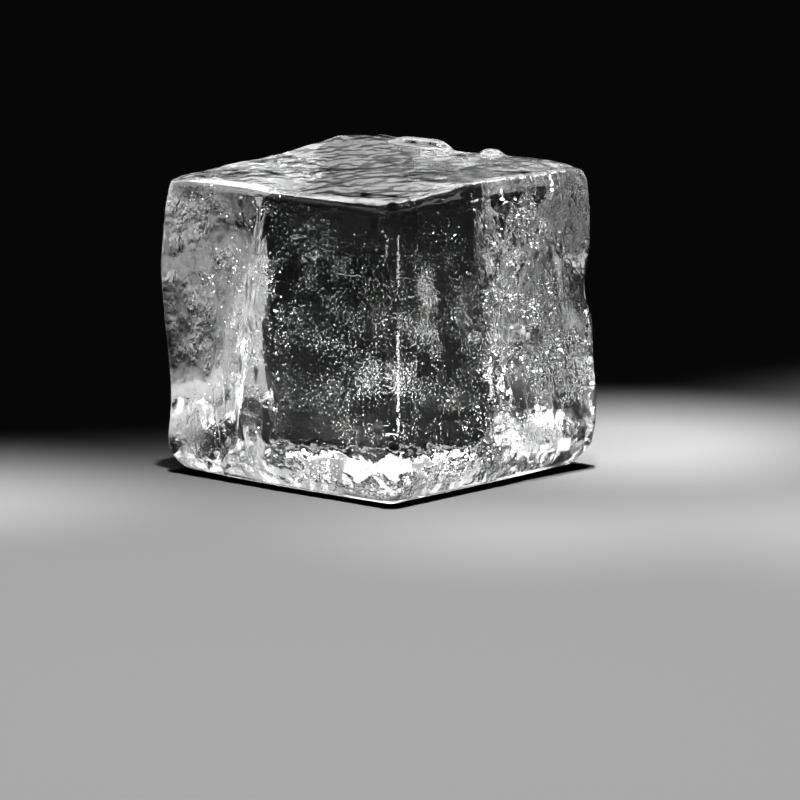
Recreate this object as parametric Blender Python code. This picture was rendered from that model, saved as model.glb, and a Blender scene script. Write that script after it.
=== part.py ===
"""A block of clear ice about 50 mm on a side, cut for a drink and starting to melt.

It froze as one piece, so it is one solid. It stands on its flat base, whose middle is
the origin. +Z is up, and the four sides face along X and Y. Melting has rounded its
edges, slanted the upright one between -X and +Y, eaten under its foot, scooped shallow
hollows in its sides, and left low rises and two drops of refrozen water on its top.
"""

from math import cos, exp, hypot, pi, radians, sin, sqrt, tan

import bmesh
import bpy
from mathutils import Vector, noise

MM = 0.001

# Size over the sides and from base to top
WIDTH = 50.0 * MM
DEPTH = 50.0 * MM
HEIGHT = 49.3 * MM

# Rounding of the edges: the upright ones, the rim round the top, and the foot
SIDE_ROUND = 1.9 * MM
RIM_ROUND = 1.9 * MM
FOOT_ROUND = 1.2 * MM

# Grid of the sides: cells along each edge, and how many of them turn each half corner
CELLS = 28
TURN_CELLS = 3

# The undercut at the foot: how far it goes in along the sides, how high it reaches, and
# its roundness, which is 1 for a straight slope and 2 for a quarter of an ellipse
UNDERCUT_IN = 2.0 * MM
UNDERCUT_UP = 6.0 * MM
UNDERCUT_ROUNDNESS = 1.6

# How much deeper, higher and rounder the undercut is at the four upright edges, which go
# by the signs of their X and Y
UNDERCUT_CORNERS = {
    (-1, -1): (2.2 * MM, 0.4 * MM, 0.4),
    (1, -1): (0.3 * MM, 0.0 * MM, 0.0),
    (1, 1): (0.6 * MM, -2.0 * MM, -0.3),
    (-1, 1): (1.2 * MM, 0.0 * MM, 0.2),
}
UNDERCUT_CORNER_REACH = 11.0 * MM

# How far the four corners at the top are worn down, and how far round them
WORN_CORNERS = {
    (-1, -1): 1.1 * MM,
    (1, -1): 0.0 * MM,
    (1, 1): 0.6 * MM,
    (-1, 1): 0.6 * MM,
}
WORN_REACH = 4.0 * MM

# The edge between -X and +Y has melted to a slanting face: how far it reaches along the
# sides at the top and below, how far down it widens, and how it wavers on its way down
SLANT_TOP_REACH = 5.0 * MM
SLANT_REACH = 11.5 * MM
SLANT_WIDENS_OVER = 9.0 * MM
SLANT_TURN = 1.2 * MM
SLANT_WAVE = (11.0 * MM, 1.6 * MM)

# Low waves all over: two sizes, each a wave length and a height
WAVES = [(15.0 * MM, 0.38 * MM), (6.5 * MM, 0.13 * MM)]
WAVES_PLACE = Vector((3.7, 1.9, 8.4))

# The relief of the top fades out over the rim, from where the surface faces straight up
# to where its normal points up by only this much
TOP_ENDS = 0.5

# Rises of the top, and dips where the last number is below zero: (x, y, reach, rise)
TOP_RISES = [
    (0 * MM, 4 * MM, 18 * MM, 0.5 * MM),
    (25 * MM, -4 * MM, 12 * MM, 1.0 * MM),
    (25 * MM, -25 * MM, 6 * MM, 0.4 * MM),
    (2 * MM, -25 * MM, 12 * MM, -0.4 * MM),
    (-25 * MM, -19 * MM, 11 * MM, -0.6 * MM),
    (-20 * MM, 20 * MM, 11 * MM, 1.4 * MM),
    (16 * MM, 20 * MM, 11 * MM, 0.6 * MM),
]

# Drops of refrozen water on the top: (x, y, half length, half width, height), how far
# their length is turned from X, and how far their soft edge spreads over that size
DROPS = [
    (-8.9 * MM, 22.0 * MM, 6.4 * MM, 2.6 * MM, 1.35 * MM),
    (5.0 * MM, 22.5 * MM, 2.3 * MM, 1.6 * MM, 0.9 * MM),
]
DROP_TURN = radians(41)
DROP_SKIRT = 1.25

# Swellings of the sides, and hollows where the last number is below zero:
# (x, y, z, reach across, reach up, how far out)
HALF = WIDTH / 2
SWELLINGS = [
    # The edge between -X and -Y bulges above its middle and draws in below it
    (-HALF, -HALF, 34 * MM, 9 * MM, 9 * MM, 0.8 * MM),
    (-HALF, -HALF, 14 * MM, 11 * MM, 10 * MM, -0.9 * MM),
    # The edge between +X and +Y has a waist above a ledge
    (HALF, HALF, 29.5 * MM, 8 * MM, 4.5 * MM, -0.8 * MM),
    (HALF, HALF, 23.5 * MM, 8 * MM, 4 * MM, 0.5 * MM),
    (HALF, HALF, 10 * MM, 10 * MM, 10 * MM, 1.0 * MM),
    # Hollows in the -Y side: a bowl by its upper left corner, one under the rim, a long one
    (-20 * MM, -HALF, 40 * MM, 6.5 * MM, 7.5 * MM, -0.75 * MM),
    (-8 * MM, -HALF, 43 * MM, 5 * MM, 5 * MM, -0.45 * MM),
    (12 * MM, -HALF, 40 * MM, 10 * MM, 6 * MM, -0.5 * MM),
    (-13 * MM, -HALF, 22 * MM, 5 * MM, 12 * MM, -0.5 * MM),
    # Hollows in the +X side: a chip in the rim, a bowl by the far edge, a low swelling
    (HALF, -2.5 * MM, 46.5 * MM, 3.6 * MM, 3.2 * MM, -0.9 * MM),
    (HALF, 14 * MM, 38 * MM, 7 * MM, 8 * MM, -0.6 * MM),
    (HALF, 3 * MM, 24 * MM, 7 * MM, 6 * MM, -0.35 * MM),
    (HALF, 12 * MM, 15 * MM, 8 * MM, 6 * MM, 0.45 * MM),
    # Hollows in the two sides behind
    (-HALF, 8 * MM, 33 * MM, 9 * MM, 8 * MM, -0.7 * MM),
    (-HALF, -6 * MM, 15 * MM, 8 * MM, 7 * MM, -0.5 * MM),
    (-14 * MM, HALF, 28 * MM, 7 * MM, 11 * MM, -0.6 * MM),
    (9 * MM, HALF, 38 * MM, 9 * MM, 6 * MM, -0.55 * MM),
    (6 * MM, HALF, 16 * MM, 8 * MM, 8 * MM, -0.4 * MM),
]

ICE_COLOUR = (0.93, 0.95, 0.96, 1.0)
ICE_ROUGHNESS = 0.04
ICE_IOR = 1.31


def smooth_step(low, high, value):
    """0 up to low, 1 from high on, and a smooth rise between them."""
    t = min(max((value - low) / (high - low), 0.0), 1.0)
    return t * t * (3 - 2 * t)


def bell(*shares):
    """1 in the middle, falling off smoothly. Each share is a distance over its reach."""
    return exp(-sum(share * share for share in shares))


def spread(t, half, radius):
    """Where grid line t, from -1 to 1, crosses a side: evenly along its flat part, and
    at equal angles round the corner that ends it."""
    flat = 1 - 2 * TURN_CELLS / CELLS
    size = abs(t)
    if size <= flat:
        place = (half - radius) * size / flat
    else:
        place = half - radius + radius * tan(pi / 4 * (size - flat) / (1 - flat))
    return place if t > 0 else -place


def rounded_box(corner):
    """(point, outward normal) on the rounded box, with its base at z 0, for a point of
    the cube from -1 to 1."""
    half = Vector((WIDTH, DEPTH, HEIGHT)) / 2
    down = RIM_ROUND if corner.z > 0 else FOOT_ROUND
    radius = Vector((SIDE_ROUND, SIDE_ROUND, down))
    point, reach = Vector(), Vector()
    for i in range(3):
        place = spread(corner[i], half[i], radius[i])
        core = half[i] - radius[i]
        point[i] = min(max(place, -core), core)
        reach[i] = (place - point[i]) / radius[i]
    reach.normalize()
    for i in range(3):
        point[i] += radius[i] * reach[i]
    normal = Vector((reach[i] / radius[i] for i in range(3))).normalized()
    point.z += HEIGHT / 2
    return point, normal


def near_corner(point, signs, reach):
    """How near a point is to an upright edge, from 0 to 1."""
    return bell(
        (point.x - signs[0] * WIDTH / 2) / reach,
        (point.y - signs[1] * DEPTH / 2) / reach,
    )


def side_relief(point):
    """How far melting moves a point of the box along its normal."""
    out = 0.0
    for length, height in WAVES:
        out += height * noise.noise(point / length + WAVES_PLACE)
    for x, y, z, across, up, size in SWELLINGS:
        out += size * bell(
            (point.x - x) / across, (point.y - y) / across, (point.z - z) / up
        )
    for signs, wear in WORN_CORNERS.items():
        top = (point.z - HEIGHT) / WORN_REACH
        out -= wear * near_corner(point, signs, WORN_REACH) * bell(top)
    return out


def drop_height(point, drop):
    """Height of a drop of refrozen water over the top: a low cap with a soft edge."""
    x, y, length, width, height = drop
    along = (point.x - x) * cos(DROP_TURN) + (point.y - y) * sin(DROP_TURN)
    across = (point.y - y) * cos(DROP_TURN) - (point.x - x) * sin(DROP_TURN)
    share = (along / length) ** 2 + (across / width) ** 2
    return height * smooth_step(DROP_SKIRT, 0.0, share)


def top_relief(point):
    """Rise of the top over a flat one."""
    rise = sum(drop_height(point, drop) for drop in DROPS)
    for x, y, reach, size in TOP_RISES:
        rise += size * bell((point.x - x) / reach, (point.y - y) / reach)
    return rise


def slanted(point):
    """The point drawn in to the slanting face, if it is out past it."""
    widened = smooth_step(HEIGHT, HEIGHT - SLANT_WIDENS_OVER, point.z)
    length, height = SLANT_WAVE
    reach = SLANT_TOP_REACH + (SLANT_REACH - SLANT_TOP_REACH) * widened
    reach += height * noise.noise(Vector((0, 0, point.z / length))) * widened
    past = (point.y - point.x - (WIDTH + DEPTH) / 2 + reach) / sqrt(2)
    inward = (past + hypot(past, SLANT_TURN)) / 2
    return point + Vector((1, -1, 0)) * inward / sqrt(2)


def undercut(point):
    """The point drawn in towards the middle near the base, most at the corners."""
    depth, top, roundness = UNDERCUT_IN, UNDERCUT_UP, UNDERCUT_ROUNDNESS
    for signs, (deeper, higher, rounder) in UNDERCUT_CORNERS.items():
        near = near_corner(point, signs, UNDERCUT_CORNER_REACH)
        depth += deeper * near
        top += higher * near
        roundness += rounder * near
    share = min(max(1 - point.z / top, 0.0), 1.0)
    inset = depth * (1 - (1 - share ** roundness) ** (1 / roundness))
    point.x *= 1 - 2 * inset / WIDTH
    point.y *= 1 - 2 * inset / DEPTH
    return point


def melted(corner):
    """The point of the block's surface for a point of the cube from -1 to 1."""
    point, normal = rounded_box(corner)
    clear_of_base = smooth_step(0, UNDERCUT_UP, point.z)
    on_top = smooth_step(TOP_ENDS, 1.0, normal.z)
    moved = point + normal * side_relief(point) * clear_of_base
    moved.z += top_relief(point) * on_top
    return undercut(slanted(moved))


def grid_cube():
    """A cube from -1 to 1 whose six sides are grids of CELLS by CELLS squares."""
    mesh = bmesh.new()
    bmesh.ops.create_cube(mesh, size=2)
    bmesh.ops.subdivide_edges(
        mesh, edges=mesh.edges, cuts=CELLS - 1, use_grid_fill=True
    )
    return mesh


def centred(points):
    """Moves the points sideways, so that the middle of their bounds is at the origin."""
    for axis in (0, 1):
        places = [point[axis] for point in points]
        middle = (min(places) + max(places)) / 2
        for point in points:
            point[axis] -= middle


def ice_material():
    material = bpy.data.materials.new("clear_ice")
    material.use_nodes = True
    shader = material.node_tree.nodes["Principled BSDF"]
    shader.inputs["Base Color"].default_value = ICE_COLOUR
    shader.inputs["Roughness"].default_value = ICE_ROUGHNESS
    shader.inputs["Metallic"].default_value = 0.0
    shader.inputs["Transmission Weight"].default_value = 1.0
    shader.inputs["IOR"].default_value = ICE_IOR
    return material


def ice_block():
    """The block as one object."""
    grid = grid_cube()
    points = [melted(vertex.co) for vertex in grid.verts]
    centred(points)
    for vertex, point in zip(grid.verts, points):
        vertex.co = point
    mesh = bpy.data.meshes.new("ice_block")
    grid.to_mesh(mesh)
    grid.free()
    mesh.shade_smooth()
    mesh.materials.append(ice_material())
    block = bpy.data.objects.new("ice_block", mesh)
    bpy.context.scene.collection.objects.link(block)
    return block


def main():
    for old in list(bpy.data.objects):
        bpy.data.objects.remove(old)
    ice_block()


main()
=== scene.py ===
"""The looks of a melting block of clear ice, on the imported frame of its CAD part.

One fine mesh of clear ice replaces the CAD block. It has the same form on a finer grid,
with ripples, crinkles and streaks added. Air bubbles and cracks are surfaces inside it.
"""

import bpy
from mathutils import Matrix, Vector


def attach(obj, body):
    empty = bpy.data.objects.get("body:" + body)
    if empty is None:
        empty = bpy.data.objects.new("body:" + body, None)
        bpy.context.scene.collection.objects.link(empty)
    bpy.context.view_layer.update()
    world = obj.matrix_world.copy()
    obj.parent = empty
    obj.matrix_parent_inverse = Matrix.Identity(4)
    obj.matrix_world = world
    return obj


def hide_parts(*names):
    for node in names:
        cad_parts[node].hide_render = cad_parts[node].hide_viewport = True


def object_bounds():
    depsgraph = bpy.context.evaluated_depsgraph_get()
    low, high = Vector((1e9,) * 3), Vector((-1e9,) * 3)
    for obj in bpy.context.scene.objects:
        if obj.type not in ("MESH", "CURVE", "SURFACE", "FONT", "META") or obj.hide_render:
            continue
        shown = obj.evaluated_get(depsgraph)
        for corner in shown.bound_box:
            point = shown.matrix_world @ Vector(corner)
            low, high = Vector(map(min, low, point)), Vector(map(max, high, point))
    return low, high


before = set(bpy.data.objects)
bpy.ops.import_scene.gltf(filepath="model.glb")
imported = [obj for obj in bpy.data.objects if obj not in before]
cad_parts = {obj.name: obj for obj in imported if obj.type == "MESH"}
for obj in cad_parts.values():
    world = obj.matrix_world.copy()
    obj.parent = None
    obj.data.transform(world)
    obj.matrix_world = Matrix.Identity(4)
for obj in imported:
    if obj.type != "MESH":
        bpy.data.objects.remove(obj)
cad_box = [list(corner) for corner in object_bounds()]

from math import atan, cos, exp, hypot, pi, radians, sin, sqrt, tan
from random import Random

import bmesh
import bpy
from mathutils import Euler, Matrix, Vector, noise

MM = 0.001

# The block has the form of the CAD part. Its size over the sides and from base to top
WIDTH = 50.0 * MM
DEPTH = 50.0 * MM
HEIGHT = 49.3 * MM
HALF = WIDTH / 2

# Rounding of the edges: the upright ones, the rim round the top, and the foot
SIDE_ROUND = 1.9 * MM
RIM_ROUND = 1.9 * MM
FOOT_ROUND = 1.2 * MM

# Grid of the sides, finer than the CAD part's: cells along each edge, and how many of
# them turn each half corner
CELLS = 126
TURN_CELLS = 9

# The undercut at the foot: how far it goes in along the sides, how high it reaches and
# its roundness, and how much deeper, higher and rounder it is at the four upright edges,
# which go by the signs of their X and Y
UNDERCUT_IN = 2.0 * MM
UNDERCUT_UP = 6.0 * MM
UNDERCUT_ROUNDNESS = 1.6
UNDERCUT_CORNERS = {
    (-1, -1): (2.2 * MM, 0.4 * MM, 0.4),
    (1, -1): (0.3 * MM, 0.0 * MM, 0.0),
    (1, 1): (0.6 * MM, -2.0 * MM, -0.3),
    (-1, 1): (1.2 * MM, 0.0 * MM, 0.2),
}
UNDERCUT_CORNER_REACH = 11.0 * MM

# How far the four corners at the top are worn down, and how far round them
WORN_CORNERS = {
    (-1, -1): 1.1 * MM,
    (1, -1): 0.0 * MM,
    (1, 1): 0.6 * MM,
    (-1, 1): 0.6 * MM,
}
WORN_REACH = 4.0 * MM

# The edge between -X and +Y has melted to a slanting face: how far it reaches along the
# sides at the top and below, how far down it widens, how softly it turns into the sides,
# and the wave length and height with which it wavers on its way down
SLANT_TOP_REACH = 5.0 * MM
SLANT_REACH = 11.5 * MM
SLANT_WIDENS_OVER = 9.0 * MM
SLANT_TURN = 1.2 * MM
SLANT_WAVE = (11.0 * MM, 1.6 * MM)

# Low waves all over: (wave length, height), and where in the noise they start
WAVES = [(15.0 * MM, 0.38 * MM), (6.5 * MM, 0.13 * MM)]
WAVES_PLACE = Vector((3.7, 1.9, 8.4))

# The relief of the top fades out over the rim, from where the surface faces straight up
# to where its normal points up by only this much
TOP_ENDS = 0.5

# Rises of the top, and dips where the last number is below zero: (x, y, reach, rise)
TOP_RISES = [
    (0 * MM, 4 * MM, 18 * MM, 0.5 * MM),
    (25 * MM, -4 * MM, 12 * MM, 1.0 * MM),
    (25 * MM, -25 * MM, 6 * MM, 0.4 * MM),
    (2 * MM, -25 * MM, 12 * MM, -0.4 * MM),
    (-25 * MM, -19 * MM, 11 * MM, -0.6 * MM),
    (-20 * MM, 20 * MM, 11 * MM, 1.4 * MM),
    (16 * MM, 20 * MM, 11 * MM, 0.6 * MM),
]

# Drops of refrozen water on the top: (x, y, half length, half width, height), how far
# their length is turned from X, and how far their soft edge spreads over that size
DROPS = [
    (-8.9 * MM, 22.0 * MM, 6.4 * MM, 2.6 * MM, 1.35 * MM),
    (5.0 * MM, 22.5 * MM, 2.3 * MM, 1.6 * MM, 0.9 * MM),
]
DROP_TURN = radians(41)
DROP_SKIRT = 1.25

# Swellings of the sides, and hollows where the last number is below zero:
# (x, y, z, reach across, reach up, how far out)
SWELLINGS = [
    # The edge between -X and -Y bulges above its middle and draws in below it
    (-HALF, -HALF, 34 * MM, 9 * MM, 9 * MM, 0.8 * MM),
    (-HALF, -HALF, 14 * MM, 11 * MM, 10 * MM, -0.9 * MM),
    # The edge between +X and +Y has a waist above a ledge
    (HALF, HALF, 29.5 * MM, 8 * MM, 4.5 * MM, -0.8 * MM),
    (HALF, HALF, 23.5 * MM, 8 * MM, 4 * MM, 0.5 * MM),
    (HALF, HALF, 10 * MM, 10 * MM, 10 * MM, 1.0 * MM),
    # Hollows in the -Y side: a bowl by its upper left corner, one under the rim, a long one
    (-20 * MM, -HALF, 40 * MM, 6.5 * MM, 7.5 * MM, -0.75 * MM),
    (-8 * MM, -HALF, 43 * MM, 5 * MM, 5 * MM, -0.45 * MM),
    (12 * MM, -HALF, 40 * MM, 10 * MM, 6 * MM, -0.5 * MM),
    (-13 * MM, -HALF, 22 * MM, 5 * MM, 12 * MM, -0.5 * MM),
    # Hollows in the +X side: a chip in the rim, a bowl by the far edge, a low swelling
    (HALF, -2.5 * MM, 46.5 * MM, 3.6 * MM, 3.2 * MM, -0.9 * MM),
    (HALF, 14 * MM, 38 * MM, 7 * MM, 8 * MM, -0.6 * MM),
    (HALF, 3 * MM, 24 * MM, 7 * MM, 6 * MM, -0.35 * MM),
    (HALF, 12 * MM, 15 * MM, 8 * MM, 6 * MM, 0.45 * MM),
    # Hollows in the two sides behind
    (-HALF, 8 * MM, 33 * MM, 9 * MM, 8 * MM, -0.7 * MM),
    (-HALF, -6 * MM, 15 * MM, 8 * MM, 7 * MM, -0.5 * MM),
    (-14 * MM, HALF, 28 * MM, 7 * MM, 11 * MM, -0.6 * MM),
    (9 * MM, HALF, 38 * MM, 9 * MM, 6 * MM, -0.55 * MM),
    (6 * MM, HALF, 16 * MM, 8 * MM, 8 * MM, -0.4 * MM),
]

# The camera: its angle round the block and above the floor, the focal length and sensor
# width of its lens, how far it sees, and how far it is from what it aims at
CAMERA_AZIMUTH = radians(41.0)
CAMERA_ELEVATION = radians(10.5)
CAMERA_LENS = 400
CAMERA_SENSOR = 36
CAMERA_SEES = 100
CAMERA_DISTANCE = 1.448

# It aims at a point this far above the base, and then as the camera sees it this far to
# the right of that and below it
AIM_ABOVE_BASE = 24.0 * MM
AIM_RIGHT = 3.27 * MM
AIM_LOWER = 12.46 * MM

# All fine relief follows axes turned by this much, so that it lines up with no side. It is
# full from this height up, and fades out towards the base
NOISE_TURN = Euler((0.7, 0.4, 1.1)).to_matrix()
FINE_FROM = 1.5 * MM

# Fine waves curl, because a wider noise moves them about: by how many wave lengths, and
# over how many that changes. The seed sets that noise
RIPPLE_CURL = (0.6, 2.0)
STREAK_CURL = (0.5, 2.0)
SWIRL_CURL = (1.2, 2.5)
CRINKLE_CURL = (0.6, 2.5)
NOISE_SEED = 5

# Fine ripples of the sides: (wave length across, wave length up, height)
SIDE_RIPPLES = [
    (3.2 * MM, 8.0 * MM, 0.10 * MM),
    (1.7 * MM, 3.4 * MM, 0.05 * MM),
]

# Streaks of the top, which run from left to right for the camera: (wave length along
# them, wave length across them, height). They fade out where a drop is this high
TOP_STREAKS = [
    (17.0 * MM, 9.0 * MM, 0.16 * MM),
    (5.0 * MM, 3.6 * MM, 0.08 * MM),
    (1.9 * MM, 2.3 * MM, 0.10 * MM),
    (1.2 * MM, 1.4 * MM, 0.06 * MM),
]
WET_FROM = 0.5 * MM

# Swirls of the foot: (wave length, height), and how high up they reach
FOOT_SWIRLS = [(3.4 * MM, 0.14 * MM), (1.5 * MM, 0.16 * MM)]
FOOT_SWIRL_UP = 8.0 * MM

# Crinkled patches of the surface: (x, y, z, reach across, reach up, strength)
CRINKLED = [
    (14 * MM, HALF, 41 * MM, 13 * MM, 7 * MM, 1.0),
    (11 * MM, HALF, 16 * MM, 14 * MM, 6 * MM, 0.9),
    (-8 * MM, HALF, 28 * MM, 4 * MM, 16 * MM, 0.7),
    (HALF, -6 * MM, 32 * MM, 4 * MM, 8 * MM, 0.6),
    (HALF, 12 * MM, 7 * MM, 12 * MM, 3 * MM, 0.7),
    (HALF, 22 * MM, 30 * MM, 3 * MM, 14 * MM, 0.5),
    (-HALF, -21 * MM, 43 * MM, 4 * MM, 3 * MM, 0.7),
    (-HALF, -19 * MM, 37 * MM, 4 * MM, 2 * MM, 0.7),
    (-HALF, -20 * MM, 31 * MM, 3 * MM, 2 * MM, 0.5),
    (-HALF, -15 * MM, 6.5 * MM, 8 * MM, 3 * MM, 0.9),
    (-HALF, -2 * MM, 33 * MM, 7 * MM, 4 * MM, 0.4),
    (-HALF, 6 * MM, 20 * MM, 6 * MM, 14 * MM, 0.5),
    (-HALF, -12 * MM, 25 * MM, 14 * MM, 22 * MM, 0.34),
    (-HALF, -14 * MM, 42 * MM, 12 * MM, 6 * MM, 0.60),
    (8 * MM, HALF, 27 * MM, 14 * MM, 20 * MM, 0.42),
    (-19 * MM, -HALF, 5 * MM, 5 * MM, 3 * MM, 1.0),
]

# The patches are uneven: the mean of their strength and its swing, over what length it
# swings, and between which strengths the crinkles go from none to full
PATCH_MEAN = 1.05
PATCH_SWING = 0.9
PATCH_LENGTH = 3.5 * MM
CRINKLES_SHOW = (0.1, 0.9)

# Size of a crinkle across and up the sides, its height, what the noise of its ridges
# takes (fading, fineness, octaves, offset and gain), and which value of it is level
CRINKLE = (2.4 * MM, 1.2 * MM)
CRINKLE_HEIGHT = 0.16 * MM
CRINKLE_RIDGES = (1.0, 2.0, 2, 1.0, 2.0)
CRINKLE_LEVEL = 1.0

# How dull the foot is, as if it were crinkled by this much
FOOT_CRINKLED = 0.12

# Clear ice: its index of refraction, and the colour and density of what it absorbs
ICE_IOR = 1.31
ABSORPTION_COLOUR = (0.86, 0.93, 1.0, 1)
ABSORPTION_DENSITY = 1.2

# The surface of the ice: scale, detail and height of its fine bump, and the strength of
# the bump and the roughness, each where the ice is smooth and where it is crinkled
BUMP_SCALE = 900
BUMP_DETAIL = 3
BUMP_HEIGHT = 0.6 * MM
BUMP_STRENGTH = (0.03, 1.0)
ICE_ROUGHNESS = (0.0, 0.03)

# How far the air in the ice keeps from the sides, how much more at the foot, and how far
# from the upright edges, measured along both sides, the slanting face, the base and top
CLEAR_OF_SIDES = 1.7 * MM
CLEAR_OF_FOOT = 3.5 * MM
CLEAR_OF_EDGES = 6 * MM
CLEAR_OF_SLANT = 3 * MM
CLEAR_OF_BASE = 0.8 * MM
CLEAR_OF_TOP = 2 * MM

# How the air gathers in a cloud: its spread for the cloud's half size, the length of the
# wisps, between which values of their noise the cloud goes from clear to thick, and how
# much of a place is used up by a miss
CLOUD_SPREAD = 0.5
WISP_LENGTH = 4.5 * MM
WISPS_SHOW = (-0.1, 0.45)
MISS_COST = 0.2

# The higher these powers, the more small ones and the more round ones there are
SMALLNESS = 3
ROUNDNESS = 2

# From here down to the table of cracks, lengths are in millimetres. How finely a bubble
# is divided, the seed, and the clouds of air bubbles: (x, y, z, half sizes of the cloud,
# count, smallest and largest radius, how many times longer than wide at most)
BUBBLE_DIVISIONS = 2
BUBBLE_SEED = 11
BUBBLE_CLOUDS = [
    (14, -15, 20, 9, 8, 17, 260, 0.05, 0.14, 1.6),
    (3, -12, 24, 16, 10, 19, 260, 0.05, 0.13, 1.6),
    (18, -6, 24, 6, 13, 17, 480, 0.05, 0.09, 7.0),
    (16, 14, 24, 8, 10, 18, 160, 0.08, 0.15, 2.0),
    (-14, -14, 22, 9, 9, 18, 100, 0.08, 0.13, 2.5),
]

# Clouds of mist, which are bubbles too small to tell apart, given in the same way
MIST_DIVISIONS = 1
MIST_SEED = 12
MIST_CLOUDS = [
    (14, -16, 20, 9, 7, 17, 2600, 0.04, 0.10, 1.5),
    (2, -14, 27, 12, 8, 12, 1900, 0.04, 0.10, 1.5),
    (16, 2, 24, 7, 16, 16, 2600, 0.04, 0.08, 3.0),
    (-12, -14, 22, 12, 10, 20, 1400, 0.04, 0.09, 1.5),
    (18, 12, 28, 6, 10, 18, 1400, 0.04, 0.10, 1.5),
    (6, -20, 38, 11, 4, 7, 900, 0.04, 0.08, 2.5),
    (21, -13, 33, 3, 10, 8, 1500, 0.04, 0.08, 4.0),
]

# Strings of bubbles that run up the ice: (x, y, z of the middle, half length, radius of
# the largest bubbles, count)
STRINGS = [
    (24.0, -23.3, 40.0, 4.0, 0.18, 60),
    (24.0, -23.3, 20.0, 8.5, 0.18, 100),
    (22.6, -24.0, 42.0, 2.0, 0.12, 20),
    (20.5, -24.0, 24.0, 6.0, 0.10, 30),
    (18.0, -23.5, 37.0, 3.0, 0.08, 20),
    (24.0, -19.0, 24.0, 5.0, 0.08, 30),
    (24.0, -14.0, 30.0, 4.0, 0.08, 20),
]

# How far they stray sideways, their smallest radius for their largest, how many times
# longer than wide they are at most, how finely each is divided, and the seed
STRING_SPREAD = 0.10
STRING_SMALLEST = 0.4
STRING_LONGEST = 3
STRING_DIVISIONS = 2
STRING_SEED = 31

# Clouds of flakes, tiny flat cracks: (x, y, z, half sizes of the cloud, count, smallest
# and largest radius)
FLAKE_CLOUDS = [
    (17, 11, 32, 8, 11, 20, 3400, 0.12, 0.60),
    (18, 8, 13, 7, 12, 8, 1500, 0.10, 0.45),
    (15, -17, 22, 9, 7, 20, 1900, 0.05, 0.15),
    (2, -14, 22, 14, 9, 20, 1400, 0.05, 0.16),
    (-6, -18, 24, 2.5, 5, 22, 1500, 0.10, 0.50),
    (-17, -16, 26, 7, 8, 22, 2800, 0.07, 0.28),
    (4, -18, 38, 11, 5, 7, 700, 0.05, 0.15),
    (-18, -20, 6, 6, 4, 3, 600, 0.06, 0.25),
    (19, -10, 26, 5, 10, 18, 2200, 0.05, 0.18),
    (6, -18, 4, 16, 3, 3, 700, 0.10, 0.40),
    (18, -4, 4, 3, 16, 3, 700, 0.10, 0.40),
    (21, -13, 33, 2.5, 10, 9, 4200, 0.05, 0.17),
    (16, 10, 43, 8, 11, 4, 1000, 0.12, 0.50),
    (-14, -21.6, 45, 12, 2.5, 2.5, 1200, 0.06, 0.25),
]

# Half the thickness of a flake for its radius, its fewest and most corners, how far they
# stray round it as a share of their spacing, how far in they come, and the seed
FLAKE_THICKNESS = 0.08
FLAKE_CORNERS = (4, 7)
FLAKE_STRAY = 0.3
FLAKE_NARROWEST = 0.45
FLAKE_SEED = 21

# Cracks: (x, y, z of the middle, turn about Z and tilt in degrees, half length up, half
# width across)
CRACKS = [
    (-9.8, -18.6, 27, 90, 10, 18, 3.2),
    (-6, -14, 14, 40, -10, 9, 2.2),
    (3, -18, 41, 20, 30, 5, 4.0),
    (19, 1, 38, 0, 10, 7, 3.0),
    (18, 8, 22, 75, -25, 6, 5.0),
    (15, 9, 38, 5, 0, 7, 8.0),
    (14, 8, 17, -5, 5, 6, 7.0),
    (8, -13, 35, 41, 75, 1.0, 2.6),
]

# Grid of a crack's two walls: rings from the middle to the outline, and steps round it.
# Half the gap between the walls in the middle, and the angle that keeps an edge sharp
CRACK_RINGS = 24
CRACK_STEPS = 90
CRACK_GAP = 0.012 * MM
CRACK_SHARP = radians(60)

# How ragged a crack's outline is: (waves, share of its radius). The ripples of its walls:
# (wave length, height). How far apart in the noise one crack is from the next
CRACK_OUTLINE = [(2, 0.5), (7, 0.3)]
CRACK_RIPPLES = [(4 * MM, 0.6 * MM), (1.1 * MM, 0.12 * MM)]
CRACK_APART = (7.3, 3.1)

# The pale floor: its size, how far it lies below the base, its colour and roughness
FLOOR_SIZE = 60
FLOOR_GAP = 0.2 * MM
FLOOR_COLOUR = (0.8, 0.8, 0.8, 1)
FLOOR_ROUGHNESS = 0.8

# Softboxes round the block, which only the ice mirrors and bends: (azimuth, elevation,
# half width, half height, brightness), with the angles in degrees
SOFTBOXES = [
    (0, 20, 12, 6, 1.4),
    (0, 14, 12, 6, 0.3),
    (0, 29, 9, 4, 3.0),
    (-21, 10, 7, 4, 0.5),
    (20, 10, 7, 4, 0.5),
    (-4, 45, 12, 6, 5.5),
    (-5, 65, 40, 14, 14.0),
    (-20, 38, 8, 5, 8.0),
    (-36, 47, 9, 7, 10.0),
    (-62, 44, 8, 5, 5.0),
    (20, 36, 8, 4, 5.0),
    (44, 42, 12, 5, 9.0),
    (-38, 24, 20, 16, 0.8),
    (38, 20, 20, 14, 0.8),
    (82, 33, 13, 1.5, 3.0),
    (84, 23, 13, 2.0, 3.0),
    (-102, 20, 12, 8, 2.2),
    (-122, 24, 9, 5, 2.2),
    (-106, 3, 12, 3, 1.3),
    (160, 26, 14, 8, 1.2),
]

# The share of its size over which a softbox's edge fades, and the room's own brightness
SOFTBOX_EDGE = 0.5
ROOM_LIGHT = 0.004

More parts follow.
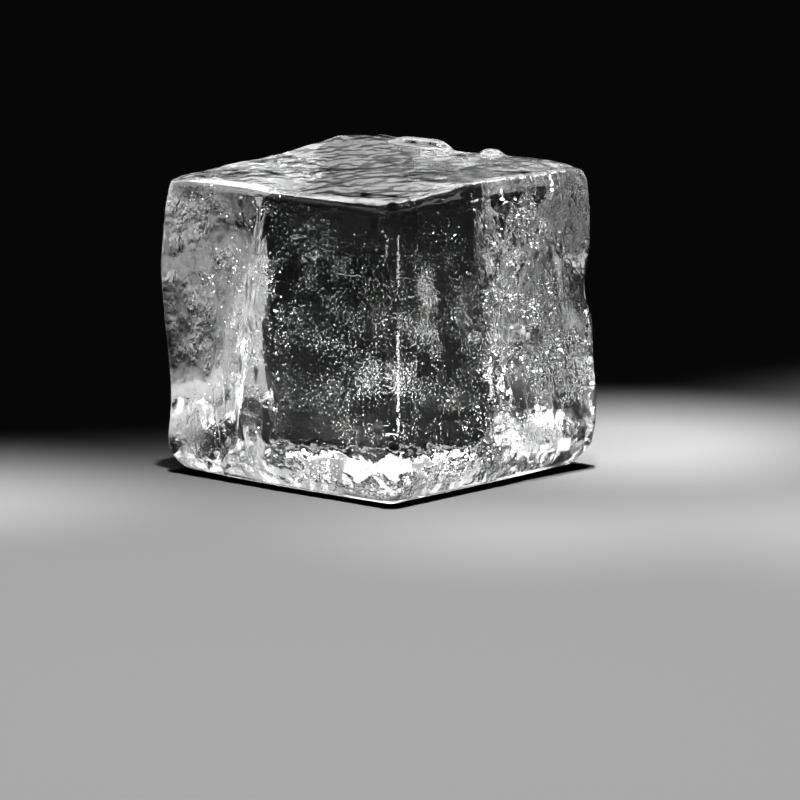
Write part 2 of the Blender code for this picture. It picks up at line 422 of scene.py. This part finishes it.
# Lamps that light pools of the floor: (name, how far right of the block and behind it as
# the camera sees it, height, radius of the pool, share of the radius over which it fades,
# power), and the radius of the lamp itself
POOLS = [
    ("front_pool", 0.0, -0.19, 0.9, 0.22, 0.5, 16.0),
    ("front_far_pool", 0.0, -0.5, 0.9, 0.24, 0.9, 3.5),
    ("band_pool", 0.022, -0.052, 0.8, 0.034, 0.8, 5.0),
    ("right_pool", 0.145, -0.01, 0.8, 0.12, 0.7, 8.5),
    ("right_near_pool", 0.040, 0.024, 0.8, 0.038, 0.6, 20.0),
    ("right_far_pool", 0.39, 0.02, 0.8, 0.18, 0.8, 3.5),
    ("left_pool", -0.15, -0.045, 0.8, 0.06, 0.7, 10.0),
    ("left_near_pool", -0.075, -0.02, 0.8, 0.038, 0.8, 10.0),
]
POOL_LAMP_RADIUS = 0.02

# A wide, weak lamp over everything: its height, size and power
ROOM_LAMP = (1.5, 2.0, 0.08)

# How often light is bent or mirrored, and how often it goes straight through a surface
BOUNCES = 40
TRANSPARENT_BOUNCES = 16


def smooth_step(low, high, value):
    """0 up to low, 1 from high on, and a smooth rise between them."""
    t = min(max((value - low) / (high - low), 0.0), 1.0)
    return t * t * (3 - 2 * t)


def bell(*shares):
    """1 in the middle, falling off smoothly. Each share is a distance over its reach."""
    return exp(-sum(share * share for share in shares))


def spread(t, half, radius):
    """Where grid line t, from -1 to 1, crosses a side: evenly along its flat part, and
    at equal angles round the corner that ends it."""
    flat = 1 - 2 * TURN_CELLS / CELLS
    size = abs(t)
    if size <= flat:
        place = (half - radius) * size / flat
    else:
        place = half - radius + radius * tan(pi / 4 * (size - flat) / (1 - flat))
    return place if t > 0 else -place


def rounded_box(corner):
    """(point, outward normal) on the rounded box, with its base at z 0, for a point of
    the cube from -1 to 1."""
    half = Vector((WIDTH, DEPTH, HEIGHT)) / 2
    down = RIM_ROUND if corner.z > 0 else FOOT_ROUND
    radius = Vector((SIDE_ROUND, SIDE_ROUND, down))
    point, reach = Vector(), Vector()
    for i in range(3):
        place = spread(corner[i], half[i], radius[i])
        core = half[i] - radius[i]
        point[i] = min(max(place, -core), core)
        reach[i] = (place - point[i]) / radius[i]
    reach.normalize()
    for i in range(3):
        point[i] += radius[i] * reach[i]
    normal = Vector((reach[i] / radius[i] for i in range(3))).normalized()
    point.z += HEIGHT / 2
    return point, normal


def near_corner(point, signs, reach):
    """How near a point is to an upright edge, from 0 to 1."""
    return bell(
        (point.x - signs[0] * WIDTH / 2) / reach,
        (point.y - signs[1] * DEPTH / 2) / reach,
    )


def side_relief(point):
    """How far melting moves a point of the box along its normal."""
    out = 0.0
    for length, height in WAVES:
        out += height * noise.noise(point / length + WAVES_PLACE)
    for x, y, z, across, up, size in SWELLINGS:
        out += size * bell(
            (point.x - x) / across, (point.y - y) / across, (point.z - z) / up
        )
    for signs, wear in WORN_CORNERS.items():
        top = (point.z - HEIGHT) / WORN_REACH
        out -= wear * near_corner(point, signs, WORN_REACH) * bell(top)
    return out


def drop_height(point, drop):
    """Height of a drop of refrozen water over the top: a low cap with a soft edge."""
    x, y, length, width, height = drop
    along = (point.x - x) * cos(DROP_TURN) + (point.y - y) * sin(DROP_TURN)
    across = (point.y - y) * cos(DROP_TURN) - (point.x - x) * sin(DROP_TURN)
    share = (along / length) ** 2 + (across / width) ** 2
    return height * smooth_step(DROP_SKIRT, 0.0, share)


def top_relief(point):
    """Rise of the top over a flat one."""
    rise = sum(drop_height(point, drop) for drop in DROPS)
    for x, y, reach, size in TOP_RISES:
        rise += size * bell((point.x - x) / reach, (point.y - y) / reach)
    return rise


def slanted(point):
    """The point drawn in to the slanting face, if it is out past it."""
    widened = smooth_step(HEIGHT, HEIGHT - SLANT_WIDENS_OVER, point.z)
    length, height = SLANT_WAVE
    reach = SLANT_TOP_REACH + (SLANT_REACH - SLANT_TOP_REACH) * widened
    reach += height * noise.noise(Vector((0, 0, point.z / length))) * widened
    past = (point.y - point.x - (WIDTH + DEPTH) / 2 + reach) / sqrt(2)
    inward = (past + hypot(past, SLANT_TURN)) / 2
    return point + Vector((1, -1, 0)) * inward / sqrt(2)


def undercut(point):
    """The point drawn in towards the middle near the base, most at the corners."""
    depth, top, roundness = UNDERCUT_IN, UNDERCUT_UP, UNDERCUT_ROUNDNESS
    for signs, (deeper, higher, rounder) in UNDERCUT_CORNERS.items():
        near = near_corner(point, signs, UNDERCUT_CORNER_REACH)
        depth += deeper * near
        top += higher * near
        roundness += rounder * near
    share = min(max(1 - point.z / top, 0.0), 1.0)
    inset = depth * (1 - (1 - share ** roundness) ** (1 / roundness))
    point.x *= 1 - 2 * inset / WIDTH
    point.y *= 1 - 2 * inset / DEPTH
    return point


def curled(place, curl):
    """A place in the noise, in wave lengths, moved about by a wider noise."""
    amount, length = curl
    return place + amount * noise.noise_vector(place / length)


def in_waves(point, across, up):
    """The point in the turned axes, in wave lengths across and up the sides."""
    return NOISE_TURN @ Vector((point.x / across, point.y / across, point.z / up))


def crinkled(point):
    """How crinkled the surface is, from 0 to 1."""
    amount = 0.0
    for x, y, z, across, up, strength in CRINKLED:
        near = bell((point.x - x) / across, (point.y - y) / across, (point.z - z) / up)
        amount = max(amount, near * strength)
    patchy = PATCH_MEAN + PATCH_SWING * noise.noise(NOISE_TURN @ point / PATCH_LENGTH)
    return smooth_step(*CRINKLES_SHOW, amount * patchy)


def side_ripples(point):
    """How far ripples and crinkles move a point of the sides along its normal."""
    out = 0.0
    for across, up, height in SIDE_RIPPLES:
        out += height * noise.noise(curled(in_waves(point, across, up), RIPPLE_CURL))
    place = curled(in_waves(point, *CRINKLE), CRINKLE_CURL)
    crinkle = noise.ridged_multi_fractal(place, *CRINKLE_RIDGES)
    return out + CRINKLE_HEIGHT * crinkled(point) * (crinkle - CRINKLE_LEVEL)


def foot_swirls(point):
    """How far swirls move a point near the base along its normal."""
    out = 0.0
    for length, height in FOOT_SWIRLS:
        out += height * noise.noise(curled(NOISE_TURN @ point / length, SWIRL_CURL))
    return bell(point.z / FOOT_SWIRL_UP) * out


def top_streaks(point):
    """How far streaks move a point of the top along its normal."""
    right = Vector((cos(CAMERA_AZIMUTH), sin(CAMERA_AZIMUTH), 0))
    away = Vector((-right.y, right.x, 0))
    out = 0.0
    for along, across, height in TOP_STREAKS:
        place = Vector((point.dot(right) / along, point.dot(away) / across, 0))
        out += height * noise.noise(curled(NOISE_TURN @ place, STREAK_CURL))
    wet = sum(drop_height(point, drop) for drop in DROPS) / WET_FROM
    return out * max(1 - wet, 0)


def melted(corner):
    """The point of the block's surface for a point of the cube from -1 to 1."""
    point, normal = rounded_box(corner)
    clear_of_base = smooth_step(0, UNDERCUT_UP, point.z)
    on_top = smooth_step(TOP_ENDS, 1.0, normal.z)
    on_side = 1 - abs(normal.z)
    moved = point + normal * side_relief(point) * clear_of_base
    moved.z += top_relief(point) * on_top
    fine = side_ripples(point) * on_side + top_streaks(point) * on_top
    fine += foot_swirls(point) * on_side
    moved += normal * fine * smooth_step(0, FINE_FROM, point.z)
    return undercut(slanted(moved))


def grid_cube():
    """A cube from -1 to 1 whose six sides are grids of CELLS by CELLS squares."""
    mesh = bmesh.new()
    bmesh.ops.create_cube(mesh, size=2)
    bmesh.ops.subdivide_edges(
        mesh, edges=mesh.edges, cuts=CELLS - 1, use_grid_fill=True
    )
    return mesh


def centred(points):
    """Moves the points sideways, so that the middle of their bounds is at the origin."""
    for axis in (0, 1):
        places = [point[axis] for point in points]
        middle = (min(places) + max(places)) / 2
        for point in points:
            point[axis] -= middle


def kept_in_box(points):
    """Draws the points in to the CAD part's box."""
    low, high = cad_box
    for point in points:
        for axis in range(3):
            point[axis] = min(max(point[axis], low[axis]), high[axis])


def by_dullness(nodes, links, smooth, crinkly):
    """A value that goes from one number on smooth ice to another on crinkled ice."""
    surface = nodes.new("ShaderNodeAttribute")
    surface.attribute_name = "crinkled"
    value = nodes.new("ShaderNodeMapRange")
    value.inputs["To Min"].default_value = smooth
    value.inputs["To Max"].default_value = crinkly
    links.new(surface.outputs["Fac"], value.inputs["Value"])
    return value.outputs["Result"]


def fine_bump(nodes, links):
    """The normal of ice with a fine bump, which is strongest where it is crinkled."""
    turned = nodes.new("ShaderNodeMapping")
    turned.inputs["Rotation"].default_value = NOISE_TURN.to_euler()
    coordinates = nodes.new("ShaderNodeTexCoord").outputs["Object"]
    links.new(coordinates, turned.inputs["Vector"])
    fine = nodes.new("ShaderNodeTexNoise")
    fine.inputs["Scale"].default_value = BUMP_SCALE
    fine.inputs["Detail"].default_value = BUMP_DETAIL
    links.new(turned.outputs["Vector"], fine.inputs["Vector"])
    height = nodes.new("ShaderNodeMath")
    height.operation = "MULTIPLY"
    links.new(fine.outputs["Fac"], height.inputs[0])
    links.new(by_dullness(nodes, links, *BUMP_STRENGTH), height.inputs[1])
    bump = nodes.new("ShaderNodeBump")
    bump.inputs["Distance"].default_value = BUMP_HEIGHT
    links.new(height.outputs[0], bump.inputs["Height"])
    return bump.outputs["Normal"]


def clear_ice(name, absorbs):
    """Clear ice: smooth, with faint unevenness, and rougher where it is crinkled."""
    material = bpy.data.materials.new(name)
    material.use_nodes = True
    nodes, links = material.node_tree.nodes, material.node_tree.links
    shader = nodes["Principled BSDF"]
    shader.inputs["Base Color"].default_value = (1, 1, 1, 1)
    shader.inputs["Metallic"].default_value = 0.0
    shader.inputs["Transmission Weight"].default_value = 1.0
    shader.inputs["IOR"].default_value = ICE_IOR
    links.new(fine_bump(nodes, links), shader.inputs["Normal"])
    links.new(by_dullness(nodes, links, *ICE_ROUGHNESS), shader.inputs["Roughness"])
    if absorbs:
        absorption = nodes.new("ShaderNodeVolumeAbsorption")
        absorption.inputs["Color"].default_value = ABSORPTION_COLOUR
        absorption.inputs["Density"].default_value = ABSORPTION_DENSITY
        output = nodes["Material Output"]
        links.new(absorption.outputs["Volume"], output.inputs["Volume"])
    return material


def dullness(point):
    """How dull the surface is, from 0 to 1: where it is crinkled, and at the foot."""
    return max(crinkled(point), FOOT_CRINKLED * bell(point.z / FOOT_SWIRL_UP))


def add_piece(name, mesh, material, smooth=True):
    """Adds a mesh as a piece of the block, and returns it."""
    if smooth:
        mesh.shade_smooth()
    mesh.materials.append(material)
    piece = bpy.data.objects.new(name, mesh)
    bpy.context.scene.collection.objects.link(piece)
    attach(piece, "root")
    return piece


def add_air(name, points, faces, material, smooth=True):
    """Adds a piece that is the walls of air in the ice, and returns it."""
    mesh = bpy.data.meshes.new(name)
    mesh.from_pydata(points, [], faces)
    return add_piece(name, mesh, material, smooth)


def ice_block():
    """The whole surface of the block, which stands for the CAD part."""
    grid = grid_cube()
    points = [melted(vertex.co) for vertex in grid.verts]
    centred(points)
    kept_in_box(points)
    for vertex, point in zip(grid.verts, points):
        vertex.co = point
    mesh = bpy.data.meshes.new("clear_block")
    grid.to_mesh(mesh)
    grid.free()
    layer = mesh.attributes.new("crinkled", "FLOAT", "POINT")
    layer.data.foreach_set("value", [dullness(point) for point in points])
    block = add_piece("clear_block", mesh, clear_ice("clear_ice", True))
    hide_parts("ice_block")


def ball(divisions):
    """Points and faces of a ball of radius 1 whose faces look inward, as air in ice."""
    mesh = bmesh.new()
    bmesh.ops.create_icosphere(mesh, subdivisions=divisions, radius=1)
    points = [vertex.co.copy() for vertex in mesh.verts]
    faces = [[vertex.index for vertex in reversed(face.verts)] for face in mesh.faces]
    mesh.free()
    return points, faces


def within(point):
    """Whether a point is well inside the ice."""
    edge = CLEAR_OF_SIDES + CLEAR_OF_FOOT * max(1 - point.z / UNDERCUT_UP, 0)
    if abs(point.x) > HALF - edge or abs(point.y) > HALF - edge:
        return False
    if abs(point.x) + abs(point.y) > WIDTH - CLEAR_OF_EDGES:
        return False
    if point.y - point.x > (WIDTH + DEPTH) / 2 - SLANT_REACH - CLEAR_OF_SLANT:
        return False
    return CLEAR_OF_BASE < point.z < HEIGHT - CLEAR_OF_TOP


def places_in_cloud(random, x, y, z, wide, deep, tall, count):
    """Places inside the ice that gather round a middle, in wisps of varying thickness."""
    left = count
    while left > 0:
        share = [random.gauss(0, CLOUD_SPREAD) for _ in range(3)]
        place = Vector((x + wide * share[0], y + deep * share[1], z + tall * share[2])) * MM
        wisp = noise.noise(NOISE_TURN @ place / WISP_LENGTH)
        if within(place) and random.random() < smooth_step(*WISPS_SHOW, wisp):
            left -= 1
            yield place
        else:
            left -= MISS_COST


def drawn_radius(random, small, large):
    """A radius between the two, in metres."""
    return (small + (large - small) * random.random() ** SMALLNESS) * MM


def add_bubble(points, faces, unit, middle, radius, length):
    """Adds a bubble that is this many times longer than wide."""
    unit_points, unit_faces = unit
    first = len(points)
    for point in unit_points:
        points.append(middle + radius * Vector((point.x, point.y, point.z * length)))
    faces += [[first + index for index in face] for face in unit_faces]


def bubbles(name, clouds, divisions, seed, material):
    """One mesh of many bubbles, gathered in clouds."""
    random = Random(seed)
    unit = ball(divisions)
    points, faces = [], []
    for *cloud, small, large, longest in clouds:
        for place in places_in_cloud(random, *cloud):
            radius = drawn_radius(random, small, large)
            length = 1 + (longest - 1) * random.random() ** ROUNDNESS
            add_bubble(points, faces, unit, place, radius, length)
    add_air(name, points, faces, material)


def strings(material):
    """One mesh of the strings of bubbles."""
    random = Random(STRING_SEED)
    unit = ball(STRING_DIVISIONS)
    points, faces = [], []
    for x, y, z, half_length, largest, count in STRINGS:
        for _ in range(count):
            middle = Vector((
                x + random.gauss(0, STRING_SPREAD),
                y + random.gauss(0, STRING_SPREAD),
                z + random.uniform(-half_length, half_length),
            ))
            radius = largest * random.uniform(STRING_SMALLEST, 1.0)
            length = random.uniform(1, STRING_LONGEST)
            add_bubble(points, faces, unit, middle, radius, length)
    add_air("bubble_strings", [point * MM for point in points], faces, material)


def flakes(material):
    """One mesh of many flat cracks no bigger than a grain, which lie every way."""
    random = Random(FLAKE_SEED)
    points, faces = [], []
    for *cloud, small, large in FLAKE_CLOUDS:
        for place in places_in_cloud(random, *cloud):
            lie = Vector([random.gauss(0, 1) for _ in range(3)]).to_track_quat("Z", "Y")
            radius = drawn_radius(random, small, large)
            thick = FLAKE_THICKNESS * radius
            corners = random.randint(*FLAKE_CORNERS)
            first = len(points)
            points.append(place + lie @ Vector((0, 0, thick)))
            points.append(place - lie @ Vector((0, 0, thick)))
            for i in range(corners):
                angle = 2 * pi * (i + random.uniform(-FLAKE_STRAY, FLAKE_STRAY)) / corners
                reach = radius * random.uniform(FLAKE_NARROWEST, 1.0)
                corner = Vector((reach * cos(angle), reach * sin(angle), 0))
                points.append(place + lie @ corner)
            for i in range(corners):
                here, following = first + 2 + i, first + 2 + (i + 1) % corners
                faces.append([first, following, here])
                faces.append([first + 1, here, following])
    add_air("flakes", points, faces, material, False)


def crack(points, faces, place, turn, tilt, tall, wide, number):
    """Adds a crack: a thin lens of air with a ragged outline and rippled walls."""
    rings, steps = CRACK_RINGS, CRACK_STEPS
    away = Vector((number * CRACK_APART[0], number * CRACK_APART[1], 0))
    place_it = Matrix.Translation(place) @ Matrix.Rotation(radians(turn), 4, "Z")
    place_it @= Matrix.Rotation(radians(tilt), 4, "X")

    def on_wall(ring, step, side):
        """A point of one wall, side -1 or 1, or with side 0 of the rim where they meet."""
        angle = 2 * pi * step / steps
        round_it = Vector((cos(angle), sin(angle), 0))
        edge = 1
        for waves, depth in CRACK_OUTLINE:
            edge += depth * noise.noise(waves * round_it + away)
        share = ring / rings
        flat = Vector((wide * cos(angle), 0, tall * sin(angle))) * share * edge
        ripple = 0
        for length, height in CRACK_RIPPLES:
            ripple += height * noise.noise(flat / length + away)
        flat.y = ripple + side * CRACK_GAP * (1 - share * share)
        return place_it @ flat

    start = {}
    for side in (-1, 1):
        start[side] = len(points)
        points.append(on_wall(0, 0, side))
        for ring in range(1, rings):
            points.extend(on_wall(ring, step, side) for step in range(steps))
    rim = len(points)
    points.extend(on_wall(rings, step, 0) for step in range(steps))

    def index(side, ring, step):
        if ring == rings:
            return rim + step % steps
        return start[side] + 1 + (ring - 1) * steps + step % steps

    for side in (-1, 1):
        for step in range(steps):
            loop = [[start[side], index(side, 1, step), index(side, 1, step + 1)]]
            for ring in range(1, rings):
                loop.append([
                    index(side, ring, step), index(side, ring + 1, step),
                    index(side, ring + 1, step + 1), index(side, ring, step + 1),
                ])
            for face in loop:
                faces.append(face if side > 0 else face[::-1])


def cracks(material):
    """One mesh of the larger cracks."""
    points, faces = [], []
    for number, (x, y, z, turn, tilt, tall, wide) in enumerate(CRACKS, start=1):
        place = Vector((x, y, z)) * MM
        crack(points, faces, place, turn, tilt, tall * MM, wide * MM, number)
    piece = add_air("cracks", points, faces, material)
    piece.data.set_sharp_from_angle(angle=CRACK_SHARP)


def floor():
    """The pale floor, which mirrors nothing."""
    bpy.ops.mesh.primitive_plane_add(size=FLOOR_SIZE, location=(0, 0, -FLOOR_GAP))
    plane = bpy.context.object
    plane.name = "floor"
    material = bpy.data.materials.new("pale_floor")
    material.use_nodes = True
    shader = material.node_tree.nodes["Principled BSDF"]
    shader.inputs["Base Color"].default_value = FLOOR_COLOUR
    shader.inputs["Roughness"].default_value = FLOOR_ROUGHNESS
    shader.inputs["Specular IOR Level"].default_value = 0.0
    plane.data.materials.append(material)


def camera():
    """The camera, at the photo's viewing angle."""
    a, e = CAMERA_AZIMUTH, CAMERA_ELEVATION
    back = Vector((sin(a) * cos(e), -cos(a) * cos(e), sin(e)))
    right = Vector((cos(a), sin(a), 0))
    up = back.cross(right)
    aim = Vector((0, 0, AIM_ABOVE_BASE)) + right * AIM_RIGHT - up * AIM_LOWER
    data = bpy.data.cameras.new("camera")
    data.lens = CAMERA_LENS
    data.sensor_width = CAMERA_SENSOR
    data.clip_end = CAMERA_SEES
    obj = bpy.data.objects.new("camera", data)
    obj.location = aim + back * CAMERA_DISTANCE
    obj.rotation_mode = "QUATERNION"
    obj.rotation_quaternion = (-back).to_track_quat("-Z", "Y")
    bpy.context.scene.collection.objects.link(obj)
    bpy.context.scene.camera = obj


def toward(azimuth, elevation):
    """A direction seen from the block's middle. Azimuth 0 is straight behind the block as
    the camera sees it, 90 to its right, and 180 towards the camera, in degrees."""
    turn = CAMERA_AZIMUTH - radians(azimuth)
    away = Vector((-sin(turn), cos(turn), 0)) * cos(radians(elevation))
    away.z = sin(radians(elevation))
    return away


def add_lamp(name, data, place):
    """Adds a lamp that lights the floor but isn't seen itself, not in the ice either."""
    lamp = bpy.data.objects.new(name, data)
    lamp.location = place
    lamp.visible_camera = False
    lamp.visible_glossy = False
    lamp.visible_transmission = False
    bpy.context.scene.collection.objects.link(lamp)


def room_lamp():
    """The wide, weak lamp over everything."""
    height, size, power = ROOM_LAMP
    data = bpy.data.lights.new("room_lamp", "AREA")
    data.shape = "DISK"
    data.size = size
    data.energy = power
    add_lamp("room_lamp", data, Vector((0, 0, height)))


def pool(name, right, behind, height, radius, fade, power):
    """A soft lamp high over the floor that lights a round pool of it."""
    data = bpy.data.lights.new(name, "SPOT")
    data.spot_size = 2 * atan(radius / height)
    data.spot_blend = fade
    data.shadow_soft_size = POOL_LAMP_RADIUS
    data.energy = power
    place = toward(90, 0) * right + toward(0, 0) * behind
    place.z = height
    add_lamp(name, data, place)


class WorldNodes:
    """Puts together the world's light from a few kinds of nodes."""

    def __init__(self, tree):
        self.nodes, self.links = tree.nodes, tree.links
        self.direction = self.nodes.new("ShaderNodeTexCoord").outputs["Generated"]

    def math(self, operation, first, second):
        """The result of a Math node for two values, each a number or a node's output."""
        node = self.nodes.new("ShaderNodeMath")
        node.operation = operation
        for socket, value in zip(node.inputs, (first, second)):
            if isinstance(value, (int, float)):
                socket.default_value = value
            else:
                self.links.new(value, socket)
        return node.outputs[0]

    def along(self, axis):
        """How far the direction goes along an axis."""
        node = self.nodes.new("ShaderNodeVectorMath")
        node.operation = "DOT_PRODUCT"
        node.inputs[1].default_value = axis
        self.links.new(self.direction, node.inputs[0])
        return node.outputs["Value"]

    def window(self, value, half, soft):
        """1 while the value is within half of 0, falling to 0 over soft."""
        node = self.nodes.new("ShaderNodeMapRange")
        node.interpolation_type = "SMOOTHSTEP"
        node.inputs["From Min"].default_value = half + soft / 2
        node.inputs["From Max"].default_value = half - soft / 2
        self.links.new(self.math("ABSOLUTE", value, 0), node.inputs["Value"])
        return node.outputs["Result"]

    def softbox(self, azimuth, elevation, half_width, half_height, brightness):
        """Light from a rectangle that faces the block."""
        ahead = toward(azimuth, elevation)
        right = ahead.cross(Vector((0, 0, 1))).normalized()
        up = right.cross(ahead)
        depth = self.along(ahead)
        ahead_only = self.math("GREATER_THAN", depth, 0)
        light = self.math("MULTIPLY", ahead_only, brightness)
        for axis, half in ((right, half_width), (up, half_height)):
            place = self.math("DIVIDE", self.along(axis), depth)
            size = tan(radians(half))
            edge = SOFTBOX_EDGE * size
            light = self.math("MULTIPLY", light, self.window(place, size, edge))
        return light


def world_light():
    """A dim room with softboxes. They light the ice and not the floor, and the view past
    the floor's end stays dark."""
    world = bpy.data.worlds.new("world")
    bpy.context.scene.world = world
    world.use_nodes = True
    world.cycles_visibility.camera = False
    world.cycles_visibility.diffuse = False
    world.cycles.sampling_method = "NONE"
    builder = WorldNodes(world.node_tree)
    total = ROOM_LIGHT
    for box in SOFTBOXES:
        total = builder.math("ADD", total, builder.softbox(*box))
    background = world.node_tree.nodes["Background"]
    world.node_tree.links.new(total, background.inputs["Color"])


def lights():
    world_light()
    room_lamp()
    for lamp in POOLS:
        pool(*lamp)


def render_settings():
    """Lets light go through the ice and its air often enough to come out again."""
    scene = bpy.context.scene
    scene.cycles.max_bounces = BOUNCES
    scene.cycles.transmission_bounces = BOUNCES
    scene.cycles.glossy_bounces = BOUNCES
    scene.cycles.transparent_max_bounces = TRANSPARENT_BOUNCES
    scene.cycles.caustics_reflective = False
    scene.cycles.caustics_refractive = False
    scene.view_settings.view_transform = "Standard"


noise.seed_set(NOISE_SEED)
ice_block()
air = clear_ice("air_in_ice", False)
bubbles("air_bubbles", BUBBLE_CLOUDS, BUBBLE_DIVISIONS, BUBBLE_SEED, air)
bubbles("air_mist", MIST_CLOUDS, MIST_DIVISIONS, MIST_SEED, air)
strings(air)
flakes(air)
cracks(air)
floor()
lights()
camera()
render_settings()
